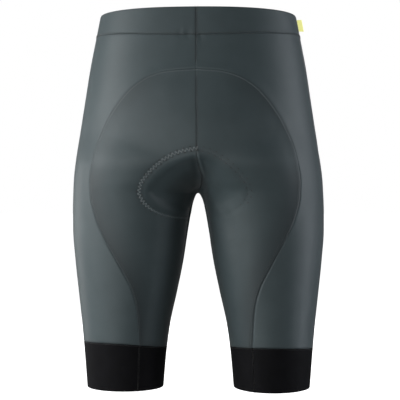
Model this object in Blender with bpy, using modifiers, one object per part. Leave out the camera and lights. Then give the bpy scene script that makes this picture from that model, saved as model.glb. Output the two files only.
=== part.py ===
"""Cycling shorts, worn and filled out, with nobody inside them.

Units are metres inside Blender, and every size below is in millimetres until a vertex is made.
The wearer's back faces -Y, the wearer's right is +X and +Z is up.
The origin is the middle of the waist, half way down the waistband at the centre back.

Each half of the garment is one surface. A place on it has two numbers: u runs round the half from
the centre front (0) over the hip (about 0.5) to the centre back (1), and z is the height. Below the
crotch the half closes to a leg tube, and u = 0 and u = 1 meet at the inseam.
"""

import math

import bmesh
import bpy
import numpy as np

MM = 0.001
RIGHT, LEFT = 1, -1

# Driving sizes, in millimetres.
CROTCH = -238.0
SEAM_GAP = 0.4
PANEL_WALL = 1.2
BAND_WALL = 1.8
GRIPPER_WALL = 1.5
PAD_EDGE_CLEARANCE = 1.1
PAD_CLEARANCE = 2.2
PAD_EDGE_THICKNESS = 2.0
PAD_THICKNESS = 8.0
PAD_BEVEL = 14.0
PAD_MARGIN = 6.0
PAD_RELIEF = 2.2
TAB_HEIGHT = 16.5
TAB_REACH = 7.0
TAB_RIBBON = 0.7
TAB_TOP = 12.5
TAB_STANDOFF = 0.35
TAB_PLACE = 0.49

# One row for each section through the body. side is the outermost point from the centre line, inner
# is the innermost point of one leg's own oval (below zero where the two ovals overlap), front and
# back are the furthest points forward and back, blend is how softly the two ovals run into each
# other, and square is the oval's exponent: 2 is an ellipse, and more is boxier.
SECTION_COLUMNS = ("z", "side", "inner", "front", "back", "blend", "square")
SECTIONS = (
    (30, 138.8, -138.8, 104, -96, 60, 2.45),
    (-19, 148.2, -148.2, 105, -101, 60, 2.45),
    (-60, 155.8, -152.0, 105.5, -108, 60, 2.40),
    (-100, 161.7, -139.0, 104.5, -115.5, 62, 2.35),
    (-145, 168.4, -110.0, 101, -120, 60, 2.30),
    (-190, 175.5, -60.0, 96, -116, 38, 2.22),
    (-220, 179.3, -19.0, 92, -106.5, 18, 2.15),
    (-238, 180.4, 2.0, 90, -100, 8, 2.12),
    (-250, 181.0, 7.0, 89.5, -97, 8, 2.10),
    (-265, 181.4, 10.4, 89, -93.5, 8, 2.10),
    (-290, 181.4, 14.8, 87.5, -89, 8, 2.10),
    (-335, 178.3, 21.8, 84.5, -82, 8, 2.10),
    (-380, 173.7, 31.0, 80.5, -75, 8, 2.10),
    (-425, 168.9, 40.9, 76, -68.5, 8, 2.10),
    (-470, 165.0, 47.0, 71.5, -63, 8, 2.10),
    (-530, 160.5, 52.0, 65.5, -57.5, 8, 2.10),
)

# Heights of the waistband's two edges.
EDGE_COLUMNS = ("front", "side", "back")
WAIST_TOP = (3.0, 14.5, 20.5)
WAIST_SEAM = (-28.0, -13.5, -18.0)

# Heights of each leg's gripper seam and hem.
CUFF_COLUMNS = ("side", "seam_inner", "seam_outer", "seam_back", "hem_inner", "hem_outer", "hem_back")
CUFFS = (
    (LEFT, -460.0, -452.0, -451.5, -518.5, -518.0, -519.5),
    (RIGHT, -458.5, -460.5, -456.5, -517.5, -518.5, -520.5),
)
CUFF_LEVEL = -457.0
HEM_LEVEL = -519.0
CUFF_FADE = -320.0

# The seam between the side panel and the seat panel, as seen from behind: height, and distance
# from the centre line.
ARC_COLUMNS = ("z", "x")
ARC_SEAM = (
    (-66.5, 0.0),
    (-69.0, 34.0),
    (-76.0, 60.0),
    (-90.0, 83.0),
    (-110.0, 102.7),
    (-145.0, 125.5),
    (-185.0, 140.8),
    (-225.0, 147.2),
    (-245.0, 146.3),
    (-275.0, 139.0),
    (-305.0, 126.0),
    (-345.0, 104.4),
    (-375.0, 90.2),
    (-405.0, 83.2),
    (-470.0, 79.2),
)

# The seat pad's outline on each side, from the rise seam down to the inseam: height, and distance
# from the centre line, behind and in front.
PAD_BACK = (
    (-174.0, 0.0),
    (-178.5, 20.0),
    (-187.0, 38.0),
    (-199.0, 54.0),
    (-213.0, 68.0),
    (-226.0, 76.5),
    (-238.0, 79.0),
    (-250.0, 74.5),
    (-262.0, 63.0),
    (-271.0, 45.0),
    (-275.5, 26.0),
    (-277.0, 12.6),
)
PAD_FRONT = (
    (-184.0, 0.0),
    (-188.0, 16.0),
    (-200.0, 30.0),
    (-217.0, 39.0),
    (-236.0, 42.5),
    (-254.0, 40.0),
    (-267.0, 31.0),
    (-274.5, 21.0),
    (-277.0, 12.6),
)

# How finely each piece is divided.
SIDE_COLUMNS = 22
SEAT_COLUMNS = 17
RISE_CROWDING = 1.4
RING_RAYS = 361
RING_SAMPLES = 241
FIELD_STEP = 0.05
PAD_BACK_SPOKES = 18
PAD_FRONT_SPOKES = 12
PAD_RINGS = 12
PAD_RING_CROWDING = 1.3

COLOURS = {
    "side_knit": (0.070, 0.088, 0.095, 1.0),
    "seat_knit": (0.062, 0.078, 0.086, 1.0),
    "waist_elastic": (0.066, 0.083, 0.090, 1.0),
    "gripper_elastic": (0.008, 0.008, 0.009, 1.0),
    "pad_foam": (0.030, 0.032, 0.036, 1.0),
    "tab_ribbon": (0.820, 0.900, 0.180, 1.0),
}
ROUGHNESS = {
    "side_knit": 0.55,
    "seat_knit": 0.58,
    "waist_elastic": 0.60,
    "gripper_elastic": 0.75,
    "pad_foam": 0.90,
    "tab_ribbon": 0.50,
}


def slopes(x, y):
    """Slopes for a smooth curve through the points that never overshoots them."""
    step = np.diff(x)
    rise = np.diff(y) / step
    slope = np.zeros(len(x))
    slope[0], slope[-1] = rise[0], rise[-1]
    same = rise[:-1] * rise[1:] > 0
    weight_a, weight_b = 2 * step[1:] + step[:-1], step[1:] + 2 * step[:-1]
    with np.errstate(divide="ignore", invalid="ignore"):
        mean = (weight_a + weight_b) / (weight_a / rise[:-1] + weight_b / rise[1:])
    slope[1:-1] = np.where(same, mean, 0.0)
    return slope


def smooth_curve(x, y):
    """A function that runs smoothly through the points (x, y), with x in either order."""
    x, y = np.asarray(x, float), np.asarray(y, float)
    if x[0] > x[-1]:
        x, y = x[::-1], y[::-1]
    slope = slopes(x, y)

    def value(at):
        at = np.clip(np.asarray(at, float), x[0], x[-1])
        i = np.clip(np.searchsorted(x, at, side="right") - 1, 0, len(x) - 2)
        width = x[i + 1] - x[i]
        t = (at - x[i]) / width
        start = (2 * t**3 - 3 * t**2 + 1) * y[i] + (t**3 - 2 * t**2 + t) * width * slope[i]
        end = (3 * t**2 - 2 * t**3) * y[i + 1] + (t**3 - t**2) * width * slope[i + 1]
        return start + end

    return value


def smoothstep(low, high, at):
    t = np.clip((at - low) / (high - low), 0, 1)
    return t * t * (3 - 2 * t)


SECTION = {
    name: smooth_curve([row[0] for row in SECTIONS], [row[i] for row in SECTIONS])
    for i, name in enumerate(SECTION_COLUMNS)
}


class Scale:
    """How far each section is stretched so that it just reaches its stated side, front and back."""

    heights = np.array([SECTIONS[-1][0], SECTIONS[0][0]], float)
    side = np.ones(2)
    front = np.ones(2)
    back = np.ones(2)


def ovals(z):
    """The leg oval at a height: centre across, half width, centre along, half depth, blend, exponent."""
    side, inner = SECTION["side"](z), SECTION["inner"](z)
    front, back = SECTION["front"](z), SECTION["back"](z)
    return (
        (side + inner) / 2,
        (side - inner) / 2,
        (front + back) / 2,
        (front - back) / 2,
        SECTION["blend"](z),
        SECTION["square"](z),
    )


def field(x, y, z):
    """Below zero inside the figure and above zero outside it."""
    centre, width, middle, depth, blend, power = ovals(z)
    x = np.abs(x) / np.interp(z, Scale.heights, Scale.side)
    along = y - middle
    front = np.interp(z, Scale.heights, Scale.front)
    back = np.interp(z, Scale.heights, Scale.back)
    along = np.abs(np.where(along > 0, along / front, along / back)) / depth

    def oval(across):
        return width * ((np.abs(across / width) ** power + along**power) ** (1 / power) - 1)

    near, far = oval(x - centre), oval(x + centre)
    overlap = np.clip(blend - np.abs(near - far), 0, None) / blend
    return np.minimum(near, far) - overlap**2 * blend / 4


def surface(points):
    """The figure's unit normals at points, and how far outside it the points lie."""
    points = np.asarray(points, float)
    slope = np.empty_like(points)
    for axis in range(3):
        ahead, behind = points.copy(), points.copy()
        ahead[..., axis] += FIELD_STEP
        behind[..., axis] -= FIELD_STEP
        slope[..., axis] = field(*np.moveaxis(ahead, -1, 0)) - field(*np.moveaxis(behind, -1, 0))
    steep = np.linalg.norm(slope, axis=-1, keepdims=True)
    off = field(*np.moveaxis(points, -1, 0))[..., None] * 2 * FIELD_STEP / steep
    return slope / steep, off


def settle(points, rounds):
    """Moves points along the figure's slope until they lie on it."""
    for _ in range(rounds):
        normal, off = surface(points)
        points = points - normal * np.clip(off, -12, 12)
    return points


def half_ring(z):
    """The section at height z, from the centre front or inseam round the outside to the back."""
    centre, width, middle, depth, blend, power = ovals(z)
    angles = np.linspace(math.pi, -math.pi, RING_RAYS)
    across, along = np.cos(angles), np.sin(angles)
    near = np.zeros(RING_RAYS)
    with np.errstate(divide="ignore"):
        to_centre_line = np.where(across < -1e-9, -centre / across, np.inf)
    far = np.minimum(2.5 * (width + depth), to_centre_line)
    leaves = field(centre + far * across, middle + far * along, z) > 0
    for _ in range(42):
        half = (near + far) / 2
        inside = field(centre + half * across, middle + half * along, z) < 0
        near, far = np.where(inside, half, near), np.where(inside, far, half)
    ring = np.stack([centre + far * across, middle + far * along], 1)[leaves]
    split = 1 + blend / (4 * width)
    bridge = split**power - abs(centre / width) ** power
    if bridge > 0:
        reach = depth * bridge ** (1 / power)
        front = middle + reach * np.interp(z, Scale.heights, Scale.front)
        back = middle - reach * np.interp(z, Scale.heights, Scale.back)
        ring = np.vstack([[0, front], ring, [0, back]])
    elif abs(z - CROTCH) < 1e-6:
        ring = np.vstack([[0, middle], ring, [0, middle]])
    return ring


def set_scale():
    """Measures each section once, and stretches it to its stated sizes."""
    heights = np.arange(SECTIONS[-1][0], SECTIONS[0][0] + 1, 4.0)
    side, front, back = [], [], []
    for z in heights:
        ring = half_ring(z)
        middle = ovals(z)[2]
        side.append(SECTION["side"](z) / ring[:, 0].max())
        front.append((SECTION["front"](z) - middle) / (ring[:, 1].max() - middle))
        back.append((SECTION["back"](z) - middle) / (ring[:, 1].min() - middle))
    Scale.heights, Scale.side = heights, np.array(side)
    Scale.front, Scale.back = np.array(front), np.array(back)


set_scale()


def measure_rings():
    """Rings at many heights, closer together at the crotch, each divided evenly by length."""
    near = np.array([0, 0.05, 0.15, 0.3, 0.6, 1, 1.6, 2.4, 3.5, 5, 7, 9.5, 12.5])
    heights = np.concatenate(
        [
            np.arange(SECTIONS[-1][0], CROTCH - 15, 3.0),
            CROTCH - near[::-1],
            CROTCH + near[1:],
            np.arange(CROTCH + 15, SECTIONS[0][0] + 1, 3.0),
        ]
    )
    rings, lengths = [], []
    for z in heights:
        ring = half_ring(z)
        run = np.concatenate([[0], np.cumsum(np.linalg.norm(np.diff(ring, axis=0), axis=1))])
        even = np.linspace(0, run[-1], RING_SAMPLES)
        rings.append(np.stack([np.interp(even, run, ring[:, 0]), np.interp(even, run, ring[:, 1])], 1))
        lengths.append(run[-1])
    return heights, np.array(rings), np.array(lengths)


HEIGHTS, RINGS, LENGTHS = measure_rings()


def on_figure(u, z):
    """The points of the right half at u and z, before any relief."""
    u, z = np.broadcast_arrays(np.asarray(u, float), np.asarray(z, float))
    row = np.clip(np.searchsorted(HEIGHTS, z, side="right") - 1, 0, len(HEIGHTS) - 2)
    up = ((z - HEIGHTS[row]) / (HEIGHTS[row + 1] - HEIGHTS[row]))[..., None]
    place = np.clip(u, 0, 1) * (RING_SAMPLES - 1)
    column = np.clip(place.astype(int), 0, RING_SAMPLES - 2)
    on = (place - column)[..., None]

    def along(r):
        return RINGS[r, column] * (1 - on) + RINGS[r, column + 1] * on

    flat = along(row) * (1 - up) + along(row + 1) * up
    return np.concatenate([flat, z[..., None]], -1)


def ring_length(z):
    return np.interp(z, HEIGHTS, LENGTHS)


def even_curve(table, count=400):
    """A smooth curve through a table of heights and distances, at even steps."""
    table = np.array(table, float)
    run = np.concatenate([[0], np.cumsum(np.hypot(*np.diff(table, axis=0).T))])
    even = np.linspace(0, run[-1], count)
    return smooth_curve(run, table[:, 0])(even), smooth_curve(run, table[:, 1])(even)


def u_at(z, x, behind):
    """The u at which the half ring at each height is this far from the centre line."""
    half = np.linspace(1, 0.5, 241) if behind else np.linspace(0, 0.5, 241)
    found = np.empty(len(z))
    for i, (level, across) in enumerate(zip(z, x)):
        ring_x = on_figure(half, np.full(half.shape, level))[:, 0]
        found[i] = np.interp(across, np.maximum.accumulate(ring_x), half)
    return found


PAD_CURVE = {behind: even_curve(PAD_BACK if behind else PAD_FRONT, 60) for behind in (True, False)}


def inside_pad(points):
    """How far inside the pad's outline each point lies, as seen from behind or from in front."""
    x, y, z = np.moveaxis(np.asarray(points, float), -1, 0)
    away = {}
    for behind, (edge_z, edge_x) in PAD_CURVE.items():
        nearest = np.full(x.shape, np.inf)
        for i in range(len(edge_z) - 1):
            dz, dx = edge_z[i + 1] - edge_z[i], edge_x[i + 1] - edge_x[i]
            t = np.clip(((z - edge_z[i]) * dz + (x - edge_x[i]) * dx) / (dz * dz + dx * dx), 0, 1)
            nearest = np.minimum(nearest, np.hypot(z - edge_z[i] - t * dz, x - edge_x[i] - t * dx))
        width = np.interp(-z, -edge_z, edge_x, left=-1.0, right=-1.0)
        away[behind] = np.where(x < width, nearest, -nearest)
    share = smoothstep(-12, 12, y - ovals(CROTCH)[2])
    return away[True] * (1 - share) + away[False] * share


def pad_relief(points):
    """How far the pad behind the cloth pushes it out at each point."""
    from_crotch = np.linalg.norm(points - [0, ovals(CROTCH)[2], CROTCH], axis=-1)
    push = smoothstep(PAD_MARGIN, PAD_MARGIN + PAD_BEVEL, inside_pad(points))
    return PAD_RELIEF * push * smoothstep(3.0, 30.0, from_crotch)


def lift(side, points, depth=0.0):
    """Places for points of the right half's figure, this deep below the cloth's outer face."""
    points = settle(points, 1)
    normal = surface(points)[0]
    points = points + normal * np.asarray(pad_relief(points) - depth)[..., None]
    points[..., 0] *= side
    return points


def cloth(side, u, z, depth=0.0):
    """Points of one half at u and z, as deep below the cloth's outer face as depth says."""
    return lift(side, on_figure(u, z), depth)


def panel_faces(side, u, z, thickness):
    """The outer and the inner face of a panel, each clear of the centre line by half a seam gap."""
    faces = cloth(side, u, z), cloth(side, u, z, thickness)
    for face in faces:
        face[..., 0] = side * np.maximum(side * face[..., 0], SEAM_GAP / 2)
    return faces


def waist_edge(heights, u):
    """A height that passes through its front, side and back values as u goes from 0 to 1."""
    front, side, back = heights
    mean = (front + back) / 2
    return (mean + side) / 2 + (front - back) / 2 * np.cos(math.pi * u) + (mean - side) / 2 * np.cos(2 * math.pi * u)


def cuff_edge(side, name, u):
    """The gripper seam's or the hem's height round one leg."""
    row = next(row for row in CUFFS if row[0] == side)
    value = dict(zip(CUFF_COLUMNS, row))
    inner, outer, back = (value[f"{name}_{where}"] for where in ("inner", "outer", "back"))
    mean = (inner + outer) / 2
    behind = np.clip(-np.sin(2 * math.pi * u), 0, 1) ** 2
    return mean + (inner - outer) / 2 * np.cos(2 * math.pi * u) + (back - mean) * behind


def height(side, u, level):
    """The true height of a course of knitting whose level is stated, on the two body panels."""
    at_waist = waist_edge(WAIST_SEAM, u) - WAIST_SEAM[2]
    at_cuff = cuff_edge(side, "seam", u) - CUFF_LEVEL
    waist_share = smoothstep(CROTCH + 60, WAIST_SEAM[2], level)
    cuff_share = smoothstep(CUFF_FADE, CUFF_LEVEL, level)
    return level + at_waist * waist_share + at_cuff * cuff_share


def arc_seam():
    """The side panel's and the seat panel's edges along the arc seam: distance from the centre line, height."""
    z, x = even_curve(ARC_SEAM, 500)
    tangent = np.stack([np.gradient(x), np.gradient(z)], 1)
    tangent /= np.linalg.norm(tangent, axis=1, keepdims=True)
    step = np.stack([-tangent[:, 1], tangent[:, 0]], 1) * SEAM_GAP / 2
    middle = np.stack([x, z], 1)
    return middle + step, middle - step


SIDE_EDGE, SEAT_EDGE = arc_seam()
ARC_TOP = ARC_SEAM[0][0]


def edge_u(edge, level):
    """The u at which a panel's arc edge crosses a level."""
    across = np.interp(-level, -edge[:, 1], edge[:, 0])
    return u_at([level], [across], True)[0]


def columns(first, last, count):
    """Column positions from first to last, closer together at first."""
    return first + (last - first) * np.linspace(0, 1, count + 1) ** RISE_CROWDING


def end_u(level):
    """The u of a panel's first column, half a seam gap clear of the rise seam or the inseam."""
    ring = on_figure(np.linspace(0, 0.2, 400), np.full(400, level))
    clear = np.interp(SEAM_GAP / 2, np.maximum.accumulate(ring[:, 0]), np.linspace(0, 0.2, 400))
    return max(clear, SEAM_GAP / 2 / ring_length(level))


def panel_levels():
    """The levels of the panels' rows: closer together at the arc seam's top and at the crotch."""
    top, bottom = WAIST_SEAM[2] - SEAM_GAP / 2, CUFF_LEVEL + SEAM_GAP / 2
    arc = ARC_TOP - np.array([-SEAM_GAP / 2, 0.45, 1.6, 3.4, 6, 9.5, 14, 20, 28, 38])
    crotch = CROTCH + np.array([36, 24, 13, 6, 2, 0.4, 0, -0.4, -1.8, -5, -12, -24])
    return np.concatenate(
        [
            np.linspace(top, arc[0], 4)[:-1],
            arc,
            np.linspace(arc[-1], crotch[0], 7)[1:-1],
            crotch,
            np.linspace(crotch[-1], bottom, 10)[1:],
        ]
    )


LEVELS = panel_levels()


def new_object(name, mesh, material):
    obj = bpy.data.objects.new(name, mesh)
    COLLECTION.objects.link(obj)
    mesh.materials.append(MATERIALS[material])
    mesh.shade_smooth()
    mesh.set_sharp_from_angle(angle=math.radians(40))
    return obj


def wall(name, material, outer, inner, closed=False):
    """A cloth wall lofted between an outer and an inner grid of points, in millimetres."""
    rows, columns = outer.shape[:2]
    form = bmesh.new()
    faces = [
        [[form.verts.new(point * MM) for point in row] for row in grid] for grid in (outer, inner)
    ]
    last = columns if closed else columns - 1
    for i in range(rows - 1):
        for j in range(last):
            k = (j + 1) % columns
            form.faces.new([faces[0][i][j], faces[0][i + 1][j], faces[0][i + 1][k], faces[0][i][k]])
            form.faces.new([faces[1][i][j], faces[1][i][k], faces[1][i + 1][k], faces[1][i + 1][j]])
    for i in (0, rows - 1):
        for j in range(last):
            k = (j + 1) % columns
            form.faces.new([faces[0][i][j], faces[0][i][k], faces[1][i][k], faces[1][i][j]])
    if not closed:
        for j in (0, columns - 1):
            for i in range(rows - 1):
                form.faces.new([faces[0][i][j], faces[0][i + 1][j], faces[1][i + 1][j], faces[1][i][j]])
    bmesh.ops.recalc_face_normals(form, faces=form.faces)
    mesh = bpy.data.meshes.new(name)
    form.to_mesh(mesh)
    form.free()
    return new_object(name, mesh, material)


def side_panel(name, side):
    """Front, side and back yoke in one: from the centre front round the hip to the arc seam."""
    u_rows = []
    for level in LEVELS:
        start = end_u(level)
        end = 1 - start if level >= ARC_TOP else edge_u(SIDE_EDGE, level)
        u_rows.append(columns(start, end, SIDE_COLUMNS))
    u = np.array(u_rows)
    z = height(side, u, LEVELS[:, None])
    return wall(name, "side_knit", *panel_faces(side, u, z, PANEL_WALL))


def seat_panel(name, side):
    """Seat and inner back leg: from the arc seam to the rise seam and, lower down, the inseam."""
    levels = LEVELS[LEVELS < ARC_TOP]
    u = np.array([columns(1 - end_u(v), edge_u(SEAT_EDGE, v), SEAT_COLUMNS)[::-1] for v in levels])
    z = height(side, u, levels[:, None])
    return wall(name, "seat_knit", *panel_faces(side, u, z, PANEL_WALL))


def waistband(name):
    """One elastic strip round the waist, its ends meeting at the centre back."""
    end = 1 - end_u(WAIST_SEAM[2])
    half = np.linspace(0, end, SIDE_COLUMNS + 1)
    rows = np.linspace(0, 1, 4)[:, None]
    top, bottom = waist_edge(WAIST_TOP, half), waist_edge(WAIST_SEAM, half) + SEAM_GAP / 2
    z = top * (1 - rows) + bottom * rows
    u = np.broadcast_to(half, z.shape)
    outer, inner = (
        np.concatenate([cloth(RIGHT, u, z, deep)[:, :0:-1], cloth(LEFT, u, z, deep)], 1)
        for deep in (0.0, BAND_WALL)
    )
    return wall(name, "waist_elastic", outer, inner)


def leg_gripper(name, side):
    """The elastic cuff, closed by a seam in line with the arc seam."""
    seam = edge_u(SIDE_EDGE, CUFF_LEVEL), edge_u(SEAT_EDGE, CUFF_LEVEL)
    behind = np.linspace(seam[1], 1, SEAT_COLUMNS + 1)[:-1]
    round_front = np.linspace(0, seam[0], SIDE_COLUMNS + 1)
    u = np.concatenate([behind, round_front])
    rows = np.linspace(0, 1, 4)[:, None]
    z = (cuff_edge(side, "seam", u) - SEAM_GAP / 2) * (1 - rows) + cuff_edge(side, "hem", u) * rows
    u = np.broadcast_to(u, z.shape)
    return wall(name, "gripper_elastic", cloth(side, u, z), cloth(side, u, z, GRIPPER_WALL))


def pad_rim(behind, spokes):
    """Points of the right half's figure, evenly spaced along the pad's outline, rise seam first."""
    z, x = even_curve(PAD_BACK if behind else PAD_FRONT)
    points = on_figure(u_at(z, x, behind), z)
    run = np.concatenate([[0], np.cumsum(np.linalg.norm(np.diff(points, axis=0), axis=1))])
    at = np.interp(np.linspace(0, run[-1], spokes + 1), run, np.arange(len(z)))
    return np.stack([np.interp(at, np.arange(len(z)), points[:, axis]) for axis in range(3)], 1)


def pad_spokes(behind, spokes):
    """Each spoke's points over the figure from the crotch to the rim, and how far in they lie."""
    crotch = np.array([0, ovals(CROTCH)[2], CROTCH])
    paths, insides = [], []
    for rim in pad_rim(behind, spokes):
        share = np.linspace(0, 1, 160)[:, None] ** 2
        path = settle(crotch * (1 - share) + rim * share, 12)
        run = np.concatenate([[0], np.cumsum(np.linalg.norm(np.diff(path, axis=0), axis=1))])
        rings = run[-1] * np.linspace(0, 1, PAD_RINGS + 1)[1:] ** PAD_RING_CROWDING
        paths.append(np.stack([np.interp(rings, run, path[:, axis]) for axis in range(3)], 1))
        insides.append(run[-1] - rings)
    return np.array(paths), np.array(insides)


def seat_pad(name):
    """The shaped foam pad inside the crotch: a disc round the crotch point, thin at its edge."""

    def depths(inside):
        """How deep the pad's two faces lie, this far inside the outline."""
        share = smoothstep(0, PAD_BEVEL, inside)
        clear = PAD_EDGE_CLEARANCE + (PAD_CLEARANCE - PAD_EDGE_CLEARANCE) * share
        thick = PAD_EDGE_THICKNESS + (PAD_THICKNESS - PAD_EDGE_THICKNESS) * share
        return PANEL_WALL + clear, PANEL_WALL + clear + thick

    near, far = [], []
    for side, behind in ((RIGHT, True), (RIGHT, False), (LEFT, False), (LEFT, True)):
        paths, insides = pad_spokes(behind, PAD_BACK_SPOKES if behind else PAD_FRONT_SPOKES)
        if (side == RIGHT) != behind:
            paths, insides = paths[::-1], insides[::-1]
        for face, deep in zip((near, far), depths(insides[:-1])):
            face.append(lift(side, paths[:-1], deep))
    near, far = (np.swapaxes(np.concatenate(face), 0, 1) for face in (near, far))
    crotch = np.array([0, ovals(CROTCH)[2], CROTCH])
    middles = [lift(RIGHT, crotch, deep) for deep in depths(PAD_BEVEL)]
    rings, columns = near.shape[:2]
    form = bmesh.new()
    grids = [[[form.verts.new(point * MM) for point in row] for row in grid] for grid in (near, far)]
    centres = [form.verts.new(point * MM) for point in middles]
    for grid, centre in zip(grids, centres):
        for j in range(columns):
            k = (j + 1) % columns
            form.faces.new([centre, grid[0][j], grid[0][k]])
            for i in range(rings - 1):
                form.faces.new([grid[i][j], grid[i + 1][j], grid[i + 1][k], grid[i][k]])
    for j in range(columns):
        k = (j + 1) % columns
        form.faces.new([grids[0][-1][j], grids[1][-1][j], grids[1][-1][k], grids[0][-1][k]])
    bmesh.ops.recalc_face_normals(form, faces=form.faces)
    mesh = bpy.data.meshes.new(name)
    form.to_mesh(mesh)
    form.free()
    return new_object(name, mesh, "pad_foam")


def side_tab(name):
    """A folded ribbon that stands out from the waistband over the right hip."""
    levels = np.linspace(TAB_TOP, TAB_TOP - TAB_HEIGHT, 4)
    base = on_figure(np.full(4, TAB_PLACE), levels)
    normal = surface(base)[0]
    normal[:, 2] = 0
    normal /= np.linalg.norm(normal, axis=1, keepdims=True)
    across = np.stack([-normal[:, 1], normal[:, 0], np.zeros(4)], 1)
    fold = TAB_RIBBON * 0.75
    reach = TAB_REACH - fold
    turn = np.radians(np.linspace(-90, 90, 7))
    path = [(TAB_STANDOFF, -fold)]
    path += [(reach + fold * math.cos(a), fold * math.sin(a)) for a in turn]
    path += [(TAB_STANDOFF, fold)]
    form = bmesh.new()
    rows = [
        [form.verts.new((b + n * out + a * over) * MM) for out, over in path]
        for b, n, a in zip(base, normal, across)
    ]
    for upper, lower in zip(rows, rows[1:]):
        for j in range(len(path) - 1):
            form.faces.new([upper[j], lower[j], lower[j + 1], upper[j + 1]])
    mesh = bpy.data.meshes.new(name)
    form.to_mesh(mesh)
    form.free()
    tab = new_object(name, mesh, "tab_ribbon")
    thick = tab.modifiers.new("ribbon", "SOLIDIFY")
    thick.thickness = TAB_RIBBON * MM
    thick.offset = 0
    return tab


def make_material(name):
    material = bpy.data.materials.new(name)
    material.use_nodes = True
    shader = material.node_tree.nodes["Principled BSDF"]
    shader.inputs["Base Color"].default_value = COLOURS[name]
    shader.inputs["Roughness"].default_value = ROUGHNESS[name]
    shader.inputs["Metallic"].default_value = 0.0
    return material


def clear_scene():
    for obj in list(bpy.data.objects):
        bpy.data.objects.remove(obj)


clear_scene()
COLLECTION = bpy.data.collections.new("cycling_shorts")
bpy.context.scene.collection.children.link(COLLECTION)
MATERIALS = {name: make_material(name) for name in COLOURS}

waistband("waistband")
for label, half in (("left", LEFT), ("right", RIGHT)):
    side_panel(f"{label}_side_panel", half)
    seat_panel(f"{label}_seat_panel", half)
    leg_gripper(f"{label}_leg_gripper", half)
seat_pad("seat_pad")
side_tab("side_tab")
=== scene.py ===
"""Cycling shorts, worn and filled out, with nobody inside: cloth, sewing, light and camera.

Sizes are in millimetres until a vertex is made. The wearer's back faces -Y, the wearer's right is +X
and +Z is up, as in the part's own source, whose sections and edges are repeated here so that each
cloth shell lies on its solid. A place on one half of the garment has two numbers: u runs round from
the centre front (0) over the hip (about 0.5) to the centre back (1), and z is the height.
"""

import math

import bmesh
import bpy
import numpy as np
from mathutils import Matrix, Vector
from mathutils.kdtree import KDTree


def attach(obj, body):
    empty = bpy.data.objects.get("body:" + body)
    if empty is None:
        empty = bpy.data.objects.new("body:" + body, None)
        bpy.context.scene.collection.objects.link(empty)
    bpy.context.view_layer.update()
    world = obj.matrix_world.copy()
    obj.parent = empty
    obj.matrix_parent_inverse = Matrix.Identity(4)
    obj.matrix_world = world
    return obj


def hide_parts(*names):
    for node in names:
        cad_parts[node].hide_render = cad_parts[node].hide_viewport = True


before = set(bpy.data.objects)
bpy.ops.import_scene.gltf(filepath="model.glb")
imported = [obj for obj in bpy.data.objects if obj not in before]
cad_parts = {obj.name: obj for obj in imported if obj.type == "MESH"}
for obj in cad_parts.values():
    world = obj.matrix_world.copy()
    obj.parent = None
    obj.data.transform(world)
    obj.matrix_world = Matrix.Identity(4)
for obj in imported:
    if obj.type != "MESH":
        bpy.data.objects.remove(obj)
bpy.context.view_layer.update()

MM = 0.001
RIGHT, LEFT = 1, -1
HALVES = (("left", LEFT), ("right", RIGHT))

# The shorts' sizes, in millimetres.
CROTCH = -238.0
SEAM_GAP = 0.16
SOLID_WALL = 1.2
PANEL_WALL = 1.1
BAND_WALL = 1.7
GRIPPER_WALL = 1.4
PAD_EDGE_CLEARANCE = 1.1
PAD_CLEARANCE = 2.2
PAD_EDGE_THICKNESS = 2.0
PAD_THICKNESS = 8.0
PAD_BEVEL = 14.0
PAD_RELIEF = 2.2
PAD_STITCH_INSET = 2.4
TAB_HEIGHT = 16.5
TAB_REACH = 7.0
TAB_RIBBON = 0.7
TAB_TOP = 12.5
TAB_STANDOFF = 0.35
TAB_PLACE = 0.49
TURNING_WIDTH = 7.0
TURNING_DEPTH = 1.12
TURNING_THICKNESS = 0.8
SEAMS_IN_LOOPS = ("waist", "cuff")

# How finely the figure is measured, and the cloth and the pad are divided.
FIELD_STEP = 0.05
SCALE_STEP = 4.0
RING_RAYS = 361
RING_HALVINGS = 42
RING_STEPS = 240
SIDE_COLUMNS = 126
SEAT_COLUMNS = 74
GRIPPER_COLUMNS = 112
BAND_ROWS = 20
GRIPPER_ROWS = 30
PAD_RINGS = 30
PAD_BACK_SPOKES = 40
PAD_FRONT_SPOKES = 26
TAB_ROWS = 34

# The pad under the cloth, by how far inside its outline: a proud rim, a hollow within it and a narrow
# pull along the stitches. The cleft runs down the rise seam.
RIM_RISES, RIM_FALLS = (4, 10), (14, 21)
HOLLOW_STARTS, HOLLOW_DEPTH = (15, 21), 1.4
PULL_DEPTH, PULL_WIDTH = 0.3, 2.6
CLEFT_DEPTH, CLEFT_WIDTH, CLEFT_STARTS = 3.0, 20, (-184, -214)

# The cloth beside a seam: a fine groove, a deeper one along the arc seam, and a low welt over that
# seam's turnings, which is lower still down the leg.
GROOVE_DEPTH, GROOVE_WIDTH = 0.42, 1.2
PANEL_CENTRE_GROOVE = 0.2
ARC_GROOVE_DEPTH, ARC_GROOVE_WIDTH = 0.7, 1.1
WELT_HEIGHT, WELT_LESS, WELT_LESS_BELOW, WELT_WIDTH = 0.85, 0.6, (-250, -310), 7.5

# The arc seam's thread is pale above this height and dark below it.
ARC_THREADS_CHANGE = -165

# Waves of a wave texture for each unit of its vector: about one.
WAVE_SCALE = 0.31831

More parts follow.
